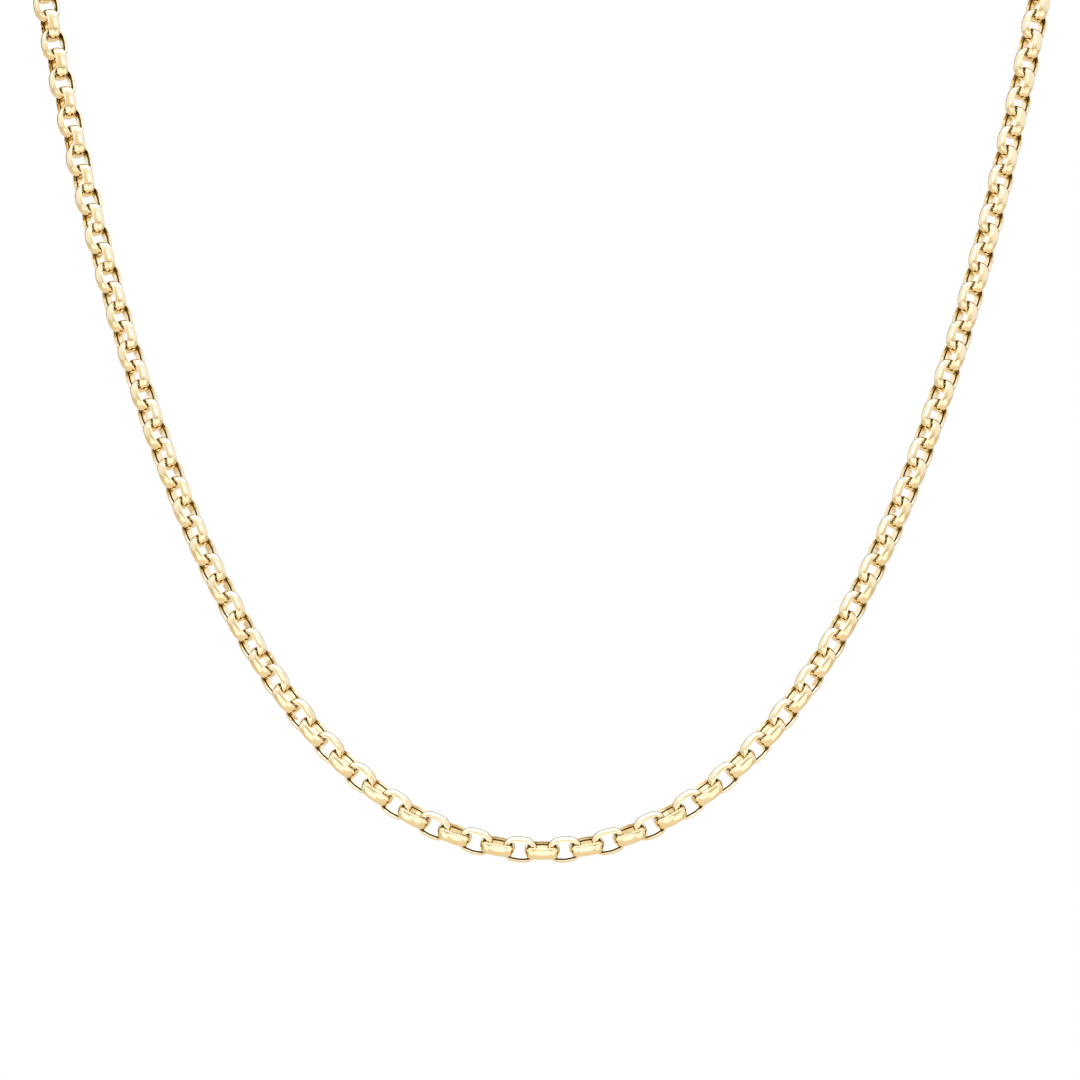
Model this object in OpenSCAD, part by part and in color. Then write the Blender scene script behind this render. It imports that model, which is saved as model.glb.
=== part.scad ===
// Rolo chain necklace: oval links of domed band, each turned a quarter against the next, a plain
// ring clasp and a closed end ring. It hangs as it is worn: down over a sloping chest in front, round
// the neck behind. X points to the right side, Y to the back and Z up. The origin is the middle of
// the nape, on the chain's centre line.

/* [Necklace] */
// Length of the whole closed loop, clasp included
necklace_len = 450; // [430:5:520]

/* [Link] */
// Outer length of a link
link_len = 3.98; // [3.8:0.02:4.6]
// Outer width of a link
link_wid = 3; // [2.8:0.05:3.4]
// Width of the band that a link is bent from
band_wid = 1.3; // [1.1:0.02:1.36]
// Thickness of the band at its crown
band_thick = 0.44; // [0.38:0.01:0.47]
// How far the band's outer face is domed
outer_crown = 0.16; // [0.06:0.01:0.2]
// How far the band's inner face is domed
inner_crown = 0.06; // [0.04:0.01:0.1]
// Slack between two links before the band's corners meet
link_play = 0.115; // [0.1:0.005:0.2]

/* [Clasp] */
// Outer diameter of the clasp's ring
clasp_d = 6; // [5.5:0.1:7]
// Wire diameter of the clasp's ring
clasp_wire = 1.1; // [0.9:0.05:1.2]
// Hole of the eye that is soldered to the clasp
eye_hole = 2; // [1.9:0.1:2.4]
// Wire diameter of the eye
eye_wire = 0.6; // [0.5:0.05:0.7]
// How deep the eye is soldered into the clasp's ring
solder_depth = 0.15; // [0.1:0.05:0.25]

/* [End ring] */
// Outer diameter of the end ring
end_ring_d = 4; // [3.9:0.1:4.6]
// Wire diameter of the end ring
end_ring_wire = 0.7; // [0.5:0.05:0.75]
// Gap where the clasp, the end ring and the last links hold each other
ring_play = 0.12; // [0.1:0.01:0.2]

/* [Drape] */
// Breadth of the U in front: half its width where the sides reach a slope of about 50 degrees
front_spread = 22.5; // [20:0.5:24]
// Depth of the round bottom of the U
front_sag = 18.4; // [16:0.2:20]
// Height of the front stretch above its lowest link
front_rise = 96; // [88:1:102]
// Backward lean of the chest at the lowest link
lean_low = 18.5; // [12:0.5:24]
// Backward lean of the chest at the top of the front stretch
lean_high = 27.5; // [24:0.5:32]
// Height of the nape above the top of the front stretch
nape_rise = 28; // [20:1:32]
// How far the chain keeps its way up and back over the shoulder
shoulder_pull = 38; // [30:1:44]
// How far the chain runs straight across the nape, to each side
nape_pull = 38; // [30:1:44]

/* [Hidden] */
$fn = 80;
gold = "#e8c987";
pale_gold = "#efd9a3";

// Turn of the odd links about the chain's own line, from lying flat on the skin towards the inside
// of the loop, at shares of the half loop counted from the lowest link. In front they turn to the
// outside. On the nape they lie flat, and the even links stand on edge. Behind the shoulders the
// tables share the twist out evenly.
nape_turn = 0;
TURNS_RIGHT = [
    [0, -44], [0.1, -47], [0.19, -50], [0.3, -48], [0.48, -42], [0.57, -39], [0.62, -38],
    [0.67, -29], [0.72, -10], [0.77, 8], [0.82, 15], [0.88, 11], [0.94, 4], [1, nape_turn]
];
TURNS_LEFT = [
    [0, -44], [0.1, -48], [0.19, -52], [0.33, -55], [0.42, -60], [0.47, -66], [0.57, -72], [0.62, -68],
    [0.67, -55], [0.72, -32], [0.77, -10], [0.82, 0], [0.88, 1], [0.94, -2], [1, nape_turn]
];
// How much the outward direction points up all round the loop
outward_lift = 0.42;

// Flat steps across the band's outer and inner faces
outer_steps = 4;
inner_steps = 2;

// Link and its spacing
end_r = link_wid / 2;
hole_r = end_r - band_thick;
run_half = link_len / 2 - end_r;
hole_half = run_half + hole_r;
corner_reach = run_half + sqrt(pow(hole_r, 2) - pow(band_wid / 2, 2));
pitch_goal = 2 * corner_reach - link_play;

// Clasp and end ring, and the steps from centre to centre where the loop closes
clasp_r = (clasp_d - clasp_wire) / 2;
eye_r = (eye_hole + eye_wire) / 2;
end_ring_r = (end_ring_d - end_ring_wire) / 2;
end_ring_hole_r = end_ring_r - end_ring_wire / 2;
function seat(hole) = sqrt(pow(hole - ring_play, 2) - pow(band_wid / 2, 2));
link_to_eye = hole_half + seat(eye_hole / 2);
eye_to_clasp = clasp_d / 2 - solder_depth + eye_wire / 2 + eye_r;
clasp_to_ring = clasp_r + end_ring_r - (clasp_wire + end_ring_wire) / 2 - ring_play;
ring_to_link = hole_half + seat(end_ring_hole_r);
closing_len = link_to_eye + eye_to_clasp + clasp_to_ring + ring_to_link;

// An even number of links fills the loop at nearly the wanted pitch. Link 0 is the lowest one. The
// last link on the right has an even number and stands on edge, so the clasp on it lies flat.
link_pairs = round(((necklace_len - closing_len) / pitch_goal + 1) / 2);
right_links = 2 * floor(link_pairs / 2);
left_links = 2 * link_pairs - 1 - right_links;
pitch = (necklace_len - closing_len) / (right_links + left_links);
eye_s = right_links * pitch + link_to_eye;
ring_s = eye_s + eye_to_clasp + clasp_to_ring;

// Front stretch: a catenary with its own breadth and depth, on a chest that leans more higher up
front_steps = 90;
back_steps = 60;
slope_top = sqrt(pow(front_rise / front_sag + 1, 2) - 1);
function unit(v) = v / norm(v);
function chest_depth(h) =
    h * tan(lean_low) + pow(h, 2) / (2 * front_rise) * (tan(lean_high) - tan(lean_low));
function front_point(slope) =
    let (h = front_sag * (sqrt(1 + pow(slope, 2)) - 1))
    [front_spread * ln(slope + sqrt(1 + pow(slope, 2))), chest_depth(h), h];

// Back stretch: one smooth sweep from the top of the front stretch to the middle of the nape
front_top = front_point(slope_top);
up_and_back = unit(front_top - front_point(slope_top * 0.999));
function back_point(t, depth) =
    let (end = [0, front_top.y + depth, front_rise + nape_rise],
         over = front_top + shoulder_pull * up_and_back,
         beside = end + [nape_pull, 0, 0])
    pow(1 - t, 3) * front_top + 3 * pow(1 - t, 2) * t * over
        + 3 * (1 - t) * pow(t, 2) * beside + pow(t, 3) * end;
function half_loop(depth) = concat(
    [for (i = [0:front_steps]) front_point(slope_top * i / front_steps)],
    [for (i = [1:back_steps]) back_point(i / back_steps, depth)]
);
function running_len(points) = [
    for (i = 0, s = 0; i < len(points); i = i + 1,
        s = i < len(points) ? s + norm(points[i] - points[i - 1]) : s) s
];
function half_len(depth) = let (run = running_len(half_loop(depth))) run[len(run) - 1];

// The nape lies as far back as the necklace's length lets it
function fit_depth(low, high, steps) =
    let (middle = (low + high) / 2)
    steps == 0 ? middle
        : half_len(middle) > necklace_len / 2 ? fit_depth(low, middle, steps - 1)
        : fit_depth(middle, high, steps - 1);
neck_depth = fit_depth(10, 150, 20);
points = half_loop(neck_depth);
run = running_len(points);
half_way = run[len(run) - 1];
nape = points[len(points) - 1];
TABLE_X = [for (i = [0:len(points) - 1]) [run[i], points[i].x]];
TABLE_Y = [for (i = [0:len(points) - 1]) [run[i], points[i].y]];
TABLE_Z = [for (i = [0:len(points) - 1]) [run[i], points[i].z]];
front_share = run[front_steps] / half_way;

// Place, direction and outward side of the loop at the distance s from its lowest link. The right
// side has a positive s, the left side a negative one, and both meet at the nape.
function wrapped(s) = s > half_way ? s - 2 * half_way : s < -half_way ? s + 2 * half_way : s;
function place(s) =
    let (w = wrapped(s), d = abs(w))
    [sign(w) * lookup(d, TABLE_X), lookup(d, TABLE_Y), lookup(d, TABLE_Z)] - nape;
function along(s) = unit(place(s + pitch / 2) - place(s - pitch / 2));
function smooth(t) = t <= 0 ? 0 : t * t * (3 - 2 * t);
function outward(s, a) =
    let (w = wrapped(s),
         turn = 180 * smooth((abs(w) / half_way - front_share) / (1 - front_share)),
         way = [sign(w) * sin(turn), -cos(turn), outward_lift])
    unit(way - (way * a) * a);
function turn_at(s) =
    let (w = wrapped(s))
    lookup(abs(w) / half_way, w < 0 ? TURNS_LEFT : TURNS_RIGHT);

// Puts a piece at s with its length along a and its axis turned by angle from outward
module at(s, a, angle) {
    o = outward(s, a);
    b = cross(o, a);
    axis = cos(angle) * o + sin(angle) * b;
    side = cross(axis, a);
    p = place(s);
    multmatrix([
        [a.x, side.x, axis.x, p.x],
        [a.y, side.y, axis.y, p.y],
        [a.z, side.z, axis.z, p.z],
        [0, 0, 0, 1]
    ]) children();
}

// Drop of a dome's arc below its crown at the distance z from the middle of the band
function dome_drop(z, crown) =
    let (dome_r = (pow(band_wid / 2, 2) + pow(crown, 2)) / (2 * crown))
    dome_r - sqrt(pow(dome_r, 2) - pow(z, 2));

// Cross-section of the band, with its inner face at hole_r. Its faces are domed in flat steps, whose
// corners lie on the domes' arcs.
module band() {
    outer_z = [for (i = [0:outer_steps]) band_wid * (1 / 2 - i / outer_steps)];
    inner_z = [for (i = [0:inner_steps]) band_wid * (i / inner_steps - 1 / 2)];
    polygon(concat(
        [for (z = outer_z) [end_r - dome_drop(z, outer_crown), z]],
        [for (z = inner_z) [hole_r + dome_drop(z, inner_crown), z]]
    ));
}

// One link: two round ends joined by two short straight runs
module link() {
    translate([run_half, 0, 0]) rotate([0, 0, -90]) rotate_extrude(angle = 180) band();
    translate([-run_half, 0, 0]) rotate([0, 0, 90]) rotate_extrude(angle = 180) band();
    translate([-run_half, 0, 0]) rotate([90, 0, 90]) linear_extrude(2 * run_half) {
        band();
        mirror([1, 0]) band();
    }
}

// Closed ring of round wire
module wire_ring(centre_r, wire) {
    rotate_extrude() translate([centre_r, 0]) circle(wire / 2);
}

// The links from number first to number last, each turned a quarter against the one before
module links(first, last) {
    for (k = [first:last])
        at(k * pitch, along(k * pitch), turn_at(k * pitch) + (k % 2 == 0 ? 90 : 0)) link();
}

// Left half of the chain, up to the link that the end ring holds
module chain_left() {
    color(gold) links(-left_links, -1);
}

// Right half of the chain with the lowest link, up to the link that the clasp's eye holds
module chain_right() {
    color(gold) links(0, right_links);
}

// Clasp: an eye that holds the last link, soldered to a ring of thick wire. It runs straight from
// the eye's place to the end ring's.
module clasp() {
    color(pale_gold)
        at(eye_s, unit(place(ring_s) - place(eye_s)), nape_turn) {
            wire_ring(eye_r, eye_wire);
            translate([eye_to_clasp, 0, 0]) wire_ring(clasp_r, clasp_wire);
        }
}

// End ring: joins the first link to the clasp
module end_ring() {
    color(pale_gold) at(ring_s, along(ring_s), nape_turn + 90) wire_ring(end_ring_r, end_ring_wire);
}

chain_left();
chain_right();
clasp();
end_ring();
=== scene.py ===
import math

import bmesh
import bpy
import numpy as np
from mathutils import Matrix, Vector


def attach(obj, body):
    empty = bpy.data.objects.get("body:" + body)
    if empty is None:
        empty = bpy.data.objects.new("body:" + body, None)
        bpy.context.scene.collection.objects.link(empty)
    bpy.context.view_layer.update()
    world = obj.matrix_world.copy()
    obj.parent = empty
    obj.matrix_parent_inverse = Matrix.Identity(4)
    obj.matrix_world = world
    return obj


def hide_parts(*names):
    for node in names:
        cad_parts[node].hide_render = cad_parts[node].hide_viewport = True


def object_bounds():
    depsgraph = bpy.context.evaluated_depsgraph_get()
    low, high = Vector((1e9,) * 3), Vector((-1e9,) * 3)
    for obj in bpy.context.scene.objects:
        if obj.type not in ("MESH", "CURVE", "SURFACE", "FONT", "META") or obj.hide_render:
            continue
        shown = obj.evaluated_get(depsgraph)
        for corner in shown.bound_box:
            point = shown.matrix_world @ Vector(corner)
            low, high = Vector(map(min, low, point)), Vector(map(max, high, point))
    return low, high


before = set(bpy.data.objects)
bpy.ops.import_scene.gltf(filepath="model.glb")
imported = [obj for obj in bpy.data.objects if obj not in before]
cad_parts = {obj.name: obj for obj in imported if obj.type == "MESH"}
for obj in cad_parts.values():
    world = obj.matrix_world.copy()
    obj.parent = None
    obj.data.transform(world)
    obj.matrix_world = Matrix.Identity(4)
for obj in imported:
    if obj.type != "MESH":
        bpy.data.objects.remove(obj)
cad_low, cad_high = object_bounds()

# Pieces are modelled at the origin in millimetres and brought to metres when they are put in place
MM = 0.001

# Link: an oval of domed band, rounded at its outer rims. Its inner face stands proud in its middle and drops
# over a short slope to a ledge along each rim
LINK_LEN = 3.98
LINK_WID = 3.0
SIDE_BULGE = 0.06
BAND_WID = 1.3
BAND_THICK = 0.5
OUTER_CROWN = 0.15
OUTER_ROUNDING = 0.1
ROUNDING_STEPS = 2
OUTER_STEPS = 4
BEND_STEPS = 14
SLOPE_FROM = 0.25
SLOPE_TO = 0.38
LEDGE_DROP = 0.12

# Clasp and end ring: widths over all, wires, and how deep the eye sits in the clasp's ring
CLASP_D = 6.0
CLASP_WIRE = 1.1
EYE_HOLE = 2.0
EYE_WIRE = 0.6
SOLDER_DEPTH = 0.15
END_RING_D = 4.0
END_RING_WIRE = 0.7
RING_STEPS = 48
WIRE_SIDES = 16

# The solder runs ring and eye together: the grain of their common skin, and how far that is smoothed
SOLDER_VOXEL = 0.1
SOLDER_SMOOTHING = 0.5
SOLDER_PASSES = 6

# Faces that meet at a wider angle than this keep a crisp edge
CREASE = math.radians(40)

# Nearer than this two points of a piece are one
SAME_POINT = 0.001

# The photograph's frame: its side in pixels, the place of the lowest link in it, and the real width that it
# shows at CHAIN_DEPTH behind that link
PHOTO_SIDE = 1080
LOWEST_LINK_X = 542.2
LOWEST_LINK_Y = 849.1
PHOTO_WIDTH = 122.25 * MM
CHAIN_DEPTH = 15 * MM

# The camera: a very long lens far off, and how far it sees in metres
LENS = 1000
SENSOR = 36
CAMERA_REACH = 30

# Hand polish: scale and detail of each pattern, and the stretch of it that runs from one value to the other
TONE_PATTERN = (420, 2)
TONE_STRETCH = (0.35, 0.7)
HAIRLINE_PATTERN = (2600, 4)
HAIRLINE_STRETCH = (0.3, 0.7)
WAVE_PATTERN = (900, 1)
WAVE_HEIGHT = 0.02 * MM

# Painted shade in recesses: where other metal lies within this reach, the gold's colour darkens, from its own
# tone where RECESS_OPEN of the way out is free to the shade colour PAINTED_RECESS_SHADE where only
# RECESS_DEEP is
RECESS_REACH = 0.5 * MM
RECESS_SAMPLES = 8
RECESS_DEEP = 0.2
RECESS_OPEN = 0.75
PAINTED_RECESS_SHADE = (0.12, 0.07, 0.015, 1)

# Painted shade on the slope of a link's inner face: a dark line in the gold's colour
PAINTED_SLOPE_SHADE = (0.06, 0.03, 0.001, 1)

# Floor: how far it lies below the chain, its side, and its warm pale paint
FLOOR_DROP = 0.24
FLOOR_SIDE = 8
FLOOR_TONE = (0.76, 0.66, 0.49, 1)
FLOOR_ROUGHNESS = 0.9

# Walls: pairs of height (0 straight down, 1 straight up) and brightness, before and behind the chain. The one
# in front has a warm tint, and gives way to the other between these two values of a direction's Y
FRONT_WALL = ((0, 0.8), (0.53, 0.95), (0.55, 0.4), (0.59, 0.4), (0.61, 0.85), (1, 0.95))
FRONT_TINT = (1, 0.89, 0.68)
BACK_WALL = ((0, 0.7), (0.5, 0.9), (0.6, 1), (1, 1.05))
FRONT_WALL_FROM = -0.55
FRONT_WALL_TO = -0.2

# Dark ring round the white sheet behind the chain, which gives the gold its outline: pairs of a direction's Y
# and how dark the ring is there
DARK_RING = ((0.77, 0), (0.83, 1), (0.95, 1), (0.98, 0))
DARK_RING_TONE = (0.12, 0.075, 0.03, 1)
WHITE = (1, 1, 1, 1)

# Softboxes in daylight colour: direction (turn to the right, height), distance, size, brightness. In
# reflections their light adds to the wall behind them, so each is less bright than a white wall
SOFTBOXES = (
    ("low", (0, -25), 0.36, (0.46, 0.42), 0.75),
    ("low_left", (-62, -22), 0.4, (0.34, 0.34), 0.65),
    ("low_right", (62, -22), 0.4, (0.34, 0.34), 0.65),
    ("top", (180, 62), 0.6, (1.0, 0.8), 0.7),
    ("left", (-75, 45), 0.6, (0.4, 0.4), 0.8),
    ("right", (60, 45), 0.7, (0.4, 0.4), 0.8),
)
SOFTBOX_COLOUR = (0.7, 0.85, 1.1)


def clear_selection():
    bpy.ops.object.select_all(action="DESELECT")


def begin_edit(piece):
    clear_selection()
    piece.select_set(True)
    bpy.context.view_layer.objects.active = piece
    bpy.ops.object.mode_set(mode="EDIT")


def end_edit():
    bpy.ops.object.mode_set(mode="OBJECT")


def select_edges(piece, wanted):
    """In edit mode, selects the edges of the piece whose two end points wanted() accepts."""
    bpy.ops.mesh.select_mode(type="EDGE")
    bpy.ops.mesh.select_all(action="DESELECT")
    mesh = bmesh.from_edit_mesh(piece.data)
    for edge in mesh.edges:
        if wanted(edge.verts[0].co, edge.verts[1].co):
            edge.select = True
    mesh.select_flush_mode()
    bmesh.update_edit_mesh(piece.data)


def close_up(piece):
    """In edit mode, joins what meets and turns every face outwards."""
    bpy.ops.mesh.select_all(action="SELECT")
    bpy.ops.mesh.remove_doubles(threshold=SAME_POINT)
    bpy.ops.mesh.normals_make_consistent(inside=False)


def near(a, b):
    return abs(a - b) < SAME_POINT


def make_link():
    """One link with its length along X and the band's width along Z, swept from its cross-section."""
    outer_r = LINK_WID / 2 - SIDE_BULGE
    inner_r = outer_r - BAND_THICK
    run = LINK_LEN / 2 - outer_r
    rim = BAND_WID / 2

    # The cross-section: a rectangle's outline, domed on its outer side, with slopes and ledges on its inner
    clear_selection()
    bpy.ops.mesh.primitive_plane_add(size=1, location=(run, -(outer_r + inner_r) / 2, 0),
                                     rotation=(0, math.pi / 2, 0))
    link = bpy.context.object
    link.name = "link"
    link.scale = (BAND_WID, BAND_THICK, 1)
    bpy.ops.object.transform_apply(location=True, rotation=True, scale=True)
    begin_edit(link)
    bpy.ops.mesh.delete(type="ONLY_FACE")
    select_edges(link, lambda p, q: near(p.y, -outer_r) and near(q.y, -outer_r))
    bpy.ops.mesh.subdivide(number_cuts=OUTER_STEPS - 1)
    across = (-rim, -SLOPE_TO, -SLOPE_FROM, SLOPE_FROM, SLOPE_TO, rim)
    select_edges(link, lambda p, q: near(p.y, -inner_r) and near(q.y, -inner_r))
    bpy.ops.mesh.subdivide(number_cuts=len(across) - 2)
    mesh = bmesh.from_edit_mesh(link.data)
    inner_edge = sorted((v for v in mesh.verts if near(v.co.y, -inner_r)), key=lambda v: v.co.z)
    for vertex, z in zip(inner_edge, across):
        vertex.co.z = z
        if abs(z) > SLOPE_FROM:
            vertex.co.y -= LEDGE_DROP
    for vertex in mesh.verts:
        if near(vertex.co.y, -outer_r):
            vertex.co.y += OUTER_CROWN * (vertex.co.z / rim) ** 2
    bmesh.update_edit_mesh(link.data)

    # Swept round one end and along one side, then round the other end and back
    bpy.ops.mesh.select_all(action="SELECT")
    for end in (run, -run):
        bpy.ops.mesh.spin(steps=BEND_STEPS, angle=math.pi, center=(end, 0, 0), axis=(0, 0, -1))
        bpy.ops.mesh.extrude_region_move(TRANSFORM_OT_translate={"value": (-2 * end, 0, 0)})
    close_up(link)

    def off_middle(p):
        """How far a point is from the link's middle line, which runs from one end's centre to the other's."""
        return math.hypot(max(abs(p.x) - run, 0), p.y)

    # The outer rims are rounded and the long sides bulge a little
    outer_rim = outer_r - OUTER_CROWN
    select_edges(link, lambda p, q: near(abs(p.z), rim) and near(abs(q.z), rim)
                 and near(off_middle(p), outer_rim) and near(off_middle(q), outer_rim))
    bpy.ops.mesh.bevel(offset=OUTER_ROUNDING, segments=ROUNDING_STEPS, affect="EDGES")
    select_edges(link, lambda p, q: near(p.y, q.y) and near(p.z, q.z) and near(abs(p.x), run)
                 and near(p.x, -q.x))
    bpy.ops.mesh.subdivide(number_cuts=1)
    mesh = bmesh.from_edit_mesh(link.data)
    for vertex in mesh.verts:
        if near(vertex.co.x, 0):
            vertex.co.y += math.copysign(SIDE_BULGE, vertex.co.y)
    bmesh.update_edit_mesh(link.data)
    close_up(link)
    end_edit()
    clear_selection()
    link.select_set(True)
    bpy.ops.object.shade_smooth_by_angle(angle=CREASE)

    # The slopes of the inner face are marked for painted shade, a dark line in their colour
    slope_shade_mask = link.data.attributes.new("slope_shade_line", "FLOAT", "FACE")
    for face in link.data.polygons:
        on_slope = SLOPE_FROM < abs(face.center.z) < SLOPE_TO
        slope_shade_mask.data[face.index].value = float(on_slope and off_middle(face.center) < (outer_r + inner_r) / 2)
    return link


def make_wire_ring(name, centre_r, wire, x=0):
    """A closed ring of round wire that lies flat, with its middle at x."""
    clear_selection()
    bpy.ops.mesh.primitive_circle_add(vertices=WIRE_SIDES, radius=wire / 2, location=(x + centre_r, 0, 0),
                                      rotation=(math.pi / 2, 0, 0))
    ring = bpy.context.object
    ring.name = name
    bpy.ops.object.transform_apply(location=True, rotation=True, scale=True)
    begin_edit(ring)
    bpy.ops.mesh.select_all(action="SELECT")
    bpy.ops.mesh.spin(steps=RING_STEPS, angle=2 * math.pi, center=(x, 0, 0), axis=(0, 0, 1))
    close_up(ring)
    end_edit()
    bpy.ops.object.shade_smooth()
    return ring


def make_clasp():
    """The clasp's ring with its eye, run together by the solder."""
    eye_r = (EYE_HOLE + EYE_WIRE) / 2
    ring = make_wire_ring("clasp_ring", (CLASP_D - CLASP_WIRE) / 2, CLASP_WIRE,
                          x=CLASP_D / 2 - SOLDER_DEPTH + EYE_WIRE / 2 + eye_r)
    eye = make_wire_ring("clasp_eye", eye_r, EYE_WIRE)
    clear_selection()
    eye.select_set(True)
    ring.select_set(True)
    bpy.context.view_layer.objects.active = ring
    bpy.ops.object.join()
    ring.data.remesh_voxel_size = SOLDER_VOXEL
    bpy.ops.object.voxel_remesh()
    smooth = ring.modifiers.new("solder", "SMOOTH")
    smooth.factor = SOLDER_SMOOTHING
    smooth.iterations = SOLDER_PASSES
    bpy.ops.object.modifier_apply(modifier=smooth.name)
    bpy.ops.object.shade_smooth()
    return ring


def loose_solids(node):
    """The triangles of each loose solid of a CAD node, as their corners, from a merged copy of its mesh."""
    mesh = bmesh.new()
    mesh.from_mesh(node.data)
    bmesh.ops.remove_doubles(mesh, verts=mesh.verts, dist=SAME_POINT * MM)
    bmesh.ops.triangulate(mesh, faces=mesh.faces)
    mesh.verts.index_update()
    solid_of = [-1] * len(mesh.verts)
    solids = []
    for start in mesh.verts:
        if solid_of[start.index] >= 0:
            continue
        solid_of[start.index] = len(solids)
        waiting = [start]
        while waiting:
            for face in waiting.pop().link_faces:
                for other in face.verts:
                    if solid_of[other.index] < 0:
                        solid_of[other.index] = len(solids)
                        waiting.append(other)
        solids.append([])
    for face in mesh.faces:
        solids[solid_of[face.verts[0].index]].append([tuple(v.co) for v in face.verts])
    mesh.free()
    return [np.array(solid) for solid in solids]


def solid_frame(triangles):
    """The centre of mass of a solid and its main axes, as a matrix: X along its length, Z across its thinnest
    way. X points to the end that lies farther from the centre."""
    # Each triangle makes a tetrahedron with the origin: its volume, centre and spread take the 6, 4 and 20
    volumes = np.linalg.det(triangles) / 6
    total = volumes.sum()
    corner_sum = triangles.sum(axis=1)
    centre = (volumes[:, None] * corner_sum).sum(axis=0) / 4 / total
    spread = np.einsum("n,ni,nj->ij", volumes, corner_sum, corner_sum)
    spread += np.einsum("n,nki,nkj->ij", volumes, triangles, triangles)
    spread = spread / 20 / total - np.outer(centre, centre)
    _, axes = np.linalg.eigh(spread)
    thin = axes[:, 0]
    length = axes[:, 2]
    reach = (triangles.reshape(-1, 3) - centre) @ length
    if reach.max() < -reach.min():
        length = -length
    turned = np.column_stack([length, np.cross(thin, length), thin])
    place = Matrix(turned.tolist()).to_4x4()
    place.translation = Vector(centre)
    return place


def mesh_frame(piece):
    """solid_frame() of a piece's own mesh."""
    piece.data.calc_loop_triangles()
    points = np.array([v.co for v in piece.data.vertices])
    return solid_frame(points[[t.vertices[:] for t in piece.data.loop_triangles]])


def placed_copy(model, place, name):
    """A copy of a model with its own mesh, which is moved to its place and from millimetres to metres."""
    piece = model.copy()
    piece.data = model.data.copy()
    piece.name = piece.data.name = name
    piece.data.transform(place @ Matrix.Scale(MM, 4))
    bpy.context.collection.objects.link(piece)
    return piece


def make_chain(node, name, link):
    """Half of the chain: a copy of the link on each of the node's solids, as one mesh. It comes with the
    places of its links."""
    places = [solid_frame(solid) for solid in loose_solids(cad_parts[node])]
    copies = [placed_copy(link, place, name) for place in places]
    clear_selection()
    for piece in copies:
        piece.select_set(True)
    bpy.context.view_layer.objects.active = copies[0]
    bpy.ops.object.join()
    return copies[0], places


def put_on(node, name, model):
    """A copy of the model where the node's one solid is, set there by its centre and main axes."""
    solid = loose_solids(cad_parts[node])[0]
    model_frame = mesh_frame(model)
    model_frame.translation *= MM
    return placed_copy(model, solid_frame(solid) @ model_frame.inverted(), name)


def polish_group():
    """Hand polish: faint waves and hairlines in the surface, and a tone that wanders a little. It also passes
    on the mask of the painted shade on the links' inner slopes.
    """
    group = bpy.data.node_groups.new("hand_polish", "ShaderNodeTree")
    sockets = group.interface
    for name, kind in (("Pale", "NodeSocketColor"), ("Deep", "NodeSocketColor"),
                       ("Smoothest", "NodeSocketFloat"), ("Roughest", "NodeSocketFloat"),
                       ("Wave", "NodeSocketFloat")):
        sockets.new_socket(name=name, in_out="INPUT", socket_type=kind)
    for name, kind in (("Colour", "NodeSocketColor"), ("Roughness", "NodeSocketFloat"),
                       ("Normal", "NodeSocketVector"), ("Slope_shade", "NodeSocketFloat")):
        sockets.new_socket(name=name, in_out="OUTPUT", socket_type=kind)
    nodes = group.nodes
    links = group.links
    given = nodes.new("NodeGroupInput")
    result = nodes.new("NodeGroupOutput")
    place = nodes.new("ShaderNodeTexCoord")

    def noise(pattern):
        node = nodes.new("ShaderNodeTexNoise")
        node.inputs["Scale"].default_value, node.inputs["Detail"].default_value = pattern
        links.new(place.outputs["Object"], node.inputs["Vector"])
        return node.outputs["Fac"]

    def stretch_of(pattern, stretch):
        """A noise pattern with a stretch of its values drawn out."""
        node = nodes.new("ShaderNodeMapRange")
        node.inputs["From Min"].default_value, node.inputs["From Max"].default_value = stretch
        links.new(noise(pattern), node.inputs["Value"])
        return node

    tone = stretch_of(TONE_PATTERN, TONE_STRETCH)
    colour = nodes.new("ShaderNodeMix")
    colour.data_type = "RGBA"
    links.new(tone.outputs["Result"], colour.inputs["Factor"])
    links.new(given.outputs["Pale"], colour.inputs["A"])
    links.new(given.outputs["Deep"], colour.inputs["B"])
    links.new(colour.outputs["Result"], result.inputs["Colour"])

    rough = stretch_of(HAIRLINE_PATTERN, HAIRLINE_STRETCH)
    links.new(given.outputs["Smoothest"], rough.inputs["To Min"])
    links.new(given.outputs["Roughest"], rough.inputs["To Max"])
    links.new(rough.outputs["Result"], result.inputs["Roughness"])

    # The mask of the painted shade on the links' inner slopes
    slope_shade_mask = nodes.new("ShaderNodeAttribute")
    slope_shade_mask.attribute_name = "slope_shade_line"
    links.new(slope_shade_mask.outputs["Fac"], result.inputs["Slope_shade"])

    bump = nodes.new("ShaderNodeBump")
    bump.inputs["Distance"].default_value = WAVE_HEIGHT
    links.new(given.outputs["Wave"], bump.inputs["Strength"])
    links.new(noise(WAVE_PATTERN), bump.inputs["Height"])
    links.new(bump.outputs["Normal"], result.inputs["Normal"])
    return group


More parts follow.
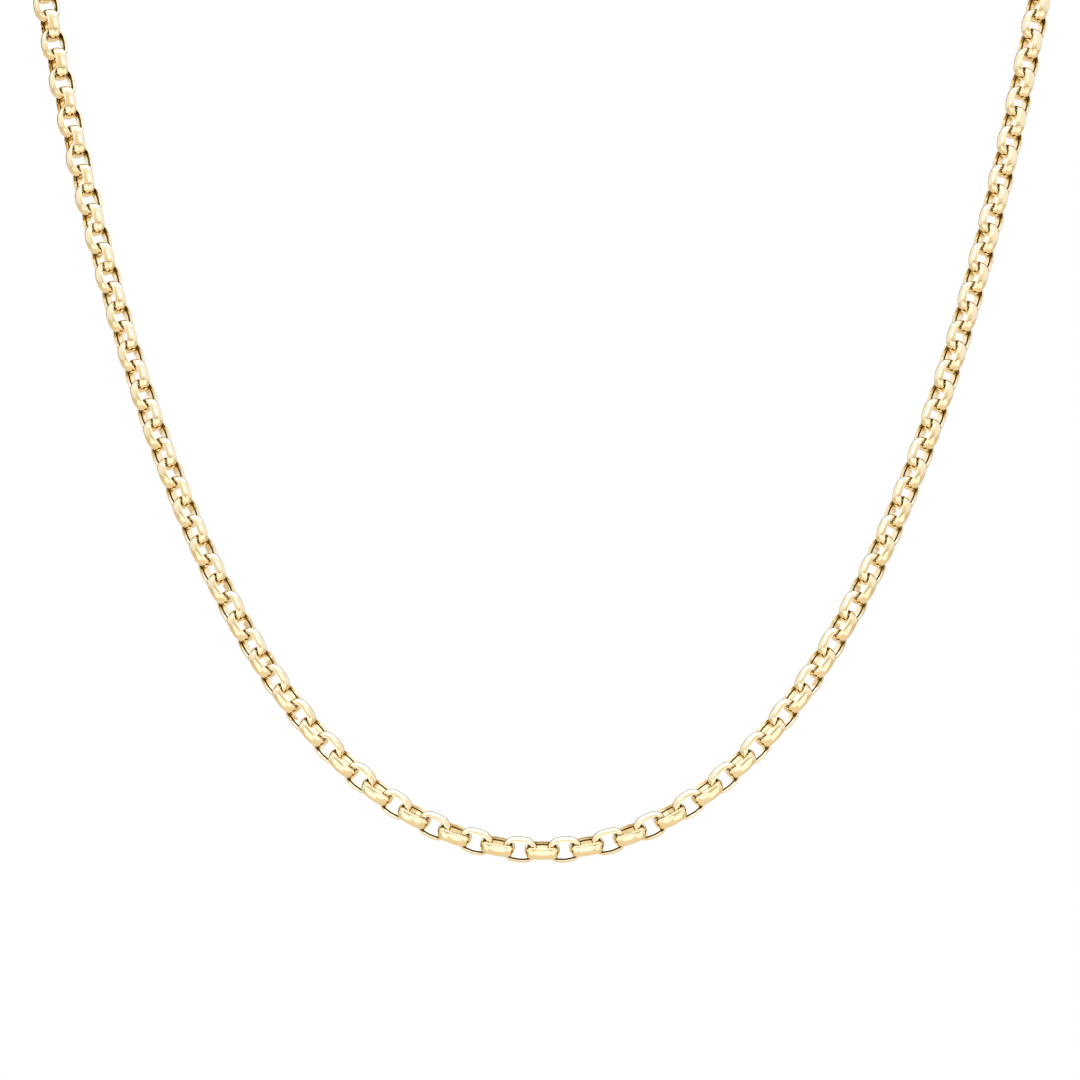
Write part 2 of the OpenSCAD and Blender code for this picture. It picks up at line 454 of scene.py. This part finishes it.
def gold(name, polish, pale, deep, smoothest, roughest, wave):
    """Polished gold with its own tones and polish, and painted shade in its recesses and on the links' inner
    slopes.
    """
    material = bpy.data.materials.new(name)
    material.use_nodes = True
    nodes = material.node_tree.nodes
    links = material.node_tree.links
    shader = nodes["Principled BSDF"]
    shader.inputs["Metallic"].default_value = 1
    finish = nodes.new("ShaderNodeGroup")
    finish.node_tree = polish
    for socket, value in (("Pale", pale), ("Deep", deep), ("Smoothest", smoothest), ("Roughest", roughest),
                          ("Wave", wave)):
        finish.inputs[socket].default_value = value
    # Painted shade: the gold's colour darkens where other metal lies near
    near_by = nodes.new("ShaderNodeAmbientOcclusion")
    near_by.inputs["Distance"].default_value = RECESS_REACH
    near_by.samples = RECESS_SAMPLES
    recess_shade = nodes.new("ShaderNodeMapRange")
    recess_shade.inputs["From Min"].default_value = RECESS_DEEP
    recess_shade.inputs["From Max"].default_value = RECESS_OPEN
    recess_shade.inputs["To Min"].default_value = 1
    recess_shade.inputs["To Max"].default_value = 0
    links.new(near_by.outputs["AO"], recess_shade.inputs["Value"])
    tone = finish.outputs["Colour"]
    # Painted shade in the base colour, in recesses and on the inner slopes
    for mask, colour in ((recess_shade.outputs["Result"], PAINTED_RECESS_SHADE),
                         (finish.outputs["Slope_shade"], PAINTED_SLOPE_SHADE)):
        mix = nodes.new("ShaderNodeMix")
        mix.data_type = "RGBA"
        mix.inputs["B"].default_value = colour
        links.new(mask, mix.inputs["Factor"])
        links.new(tone, mix.inputs["A"])
        tone = mix.outputs["Result"]
    links.new(tone, shader.inputs["Base Color"])
    links.new(finish.outputs["Roughness"], shader.inputs["Roughness"])
    links.new(finish.outputs["Normal"], shader.inputs["Normal"])
    return material


def add_floor():
    """A plain pale floor well under the chain."""
    clear_selection()
    bpy.ops.mesh.primitive_plane_add(size=FLOOR_SIDE, location=(0, 0, cad_low.z - FLOOR_DROP))
    floor = bpy.context.object
    floor.name = "floor"
    paint = bpy.data.materials.new("pale_floor")
    paint.use_nodes = True
    shader = paint.node_tree.nodes["Principled BSDF"]
    shader.inputs["Base Color"].default_value = FLOOR_TONE
    shader.inputs["Roughness"].default_value = FLOOR_ROUGHNESS
    floor.data.materials.append(paint)


def add_camera(lowest):
    """A level camera far off in front, framed by the lowest link as the photograph is."""
    pixel = PHOTO_WIDTH / PHOTO_SIDE
    data = bpy.data.cameras.new("camera")
    data.lens = LENS
    data.sensor_width = SENSOR
    data.clip_end = CAMERA_REACH
    camera = bpy.data.objects.new("camera", data)
    bpy.context.collection.objects.link(camera)
    camera.location = (lowest.x + (PHOTO_SIDE / 2 - LOWEST_LINK_X) * pixel,
                       lowest.y + CHAIN_DEPTH - PHOTO_WIDTH * LENS / SENSOR,
                       lowest.z + (LOWEST_LINK_Y - PHOTO_SIDE / 2) * pixel)
    camera.rotation_euler = (math.pi / 2, 0, 0)
    bpy.context.scene.camera = camera


def add_softbox(name, direction, distance, size, brightness):
    """A soft oval light that lies in a direction from the chain's front (turn to the right, height, in
    degrees) and faces it. The camera does not see it."""
    turn, height = (math.radians(angle) for angle in direction)
    target = Vector((0, cad_low.y, (cad_low.z + cad_high.z) / 2))
    away = Vector((math.sin(turn) * math.cos(height), -math.cos(turn) * math.cos(height), math.sin(height)))
    oval_area = size[0] * size[1] * math.pi / 4
    data = bpy.data.lights.new(name, "AREA")
    data.shape = "ELLIPSE"
    data.size, data.size_y = size
    data.energy = brightness * math.pi * oval_area
    data.color = SOFTBOX_COLOUR
    light = bpy.data.objects.new(name, data)
    bpy.context.collection.objects.link(light)
    light.location = target + distance * away
    light.rotation_euler = away.to_track_quat("Z", "Y").to_euler()
    light.visible_camera = False


def light_studio():
    """Pale walls with a darker stretch behind the camera, a white sheet in a dark ring behind the chain, and
    softboxes above, below and beside. What the camera itself sees of them is plain white."""
    world = bpy.data.worlds.new("studio")
    bpy.context.scene.world = world
    world.use_nodes = True
    nodes = world.node_tree.nodes
    links = world.node_tree.links
    backdrop = nodes["Background"]
    direction = nodes.new("ShaderNodeTexCoord")
    split = nodes.new("ShaderNodeSeparateXYZ")
    links.new(direction.outputs["Generated"], split.inputs["Vector"])

    def share(value, start, end):
        """Where a value stands between start and end, from 0 to 1."""
        node = nodes.new("ShaderNodeMapRange")
        node.inputs["From Min"].default_value = start
        node.inputs["From Max"].default_value = end
        links.new(value, node.inputs["Value"])
        return node.outputs["Result"]

    def grades(value, stops, tint=(1, 1, 1)):
        """Tones of one tint by a value from 0 to 1, from pairs of value and tone."""
        ramp = nodes.new("ShaderNodeValToRGB")
        elements = ramp.color_ramp.elements
        while len(elements) < len(stops):
            elements.new(1)
        for element, (position, tone) in zip(elements, stops):
            element.position = position
            element.color = (*(tone * part for part in tint), 1)
        links.new(value, ramp.inputs["Fac"])
        return ramp.outputs["Color"]

    def blend(factor, first, second):
        """Goes from the first colour to the second, which are sockets or plain colours, with the factor."""
        mix = nodes.new("ShaderNodeMix")
        mix.data_type = "RGBA"
        links.new(factor, mix.inputs["Factor"])
        for name, colour in (("A", first), ("B", second)):
            if isinstance(colour, tuple):
                mix.inputs[name].default_value = colour
            else:
                links.new(colour, mix.inputs[name])
        return mix.outputs["Result"]

    height = share(split.outputs["Z"], -1, 1)
    room = blend(share(split.outputs["Y"], FRONT_WALL_FROM, FRONT_WALL_TO),
                 grades(height, FRONT_WALL, FRONT_TINT), grades(height, BACK_WALL))
    ringed = blend(grades(split.outputs["Y"], DARK_RING), room, DARK_RING_TONE)
    path = nodes.new("ShaderNodeLightPath")
    links.new(blend(path.outputs["Is Camera Ray"], ringed, WHITE), backdrop.inputs["Color"])
    for softbox in SOFTBOXES:
        add_softbox(*softbox)


bpy.context.scene.view_settings.view_transform = "Standard"
light_studio()
add_floor()

polish = polish_group()
link_gold = gold("link_gold", polish, pale=(0.97, 0.83, 0.58, 1), deep=(0.95, 0.78, 0.49, 1),
                 smoothest=0.04, roughest=0.08, wave=0.15)
clasp_gold = gold("clasp_gold", polish, pale=(0.93, 0.77, 0.49, 1), deep=(0.9, 0.7, 0.39, 1),
                  smoothest=0.06, roughest=0.12, wave=0.3)

link_model = make_link()
link_model.data.materials.append(link_gold)
clasp_model = make_clasp()
clasp_model.data.materials.append(clasp_gold)
ring_model = make_wire_ring("end_ring_model", (END_RING_D - END_RING_WIRE) / 2, END_RING_WIRE)
ring_model.data.materials.append(clasp_gold)

left_chain, left_places = make_chain("chain_left", "left_links", link_model)
right_chain, right_places = make_chain("chain_right", "right_links", link_model)
clasp = put_on("clasp", "ring_clasp", clasp_model)
end_ring = put_on("end_ring", "closed_end_ring", ring_model)
for model in (link_model, clasp_model, ring_model):
    bpy.data.objects.remove(model)

for piece, node in ((left_chain, "chain_left"), (right_chain, "chain_right"), (clasp, "clasp"),
                    (end_ring, "end_ring")):
    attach(piece, "root")
    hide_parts(node)

lowest_link = min((place.translation for place in left_places + right_places), key=lambda p: p.z)
add_camera(lowest_link)
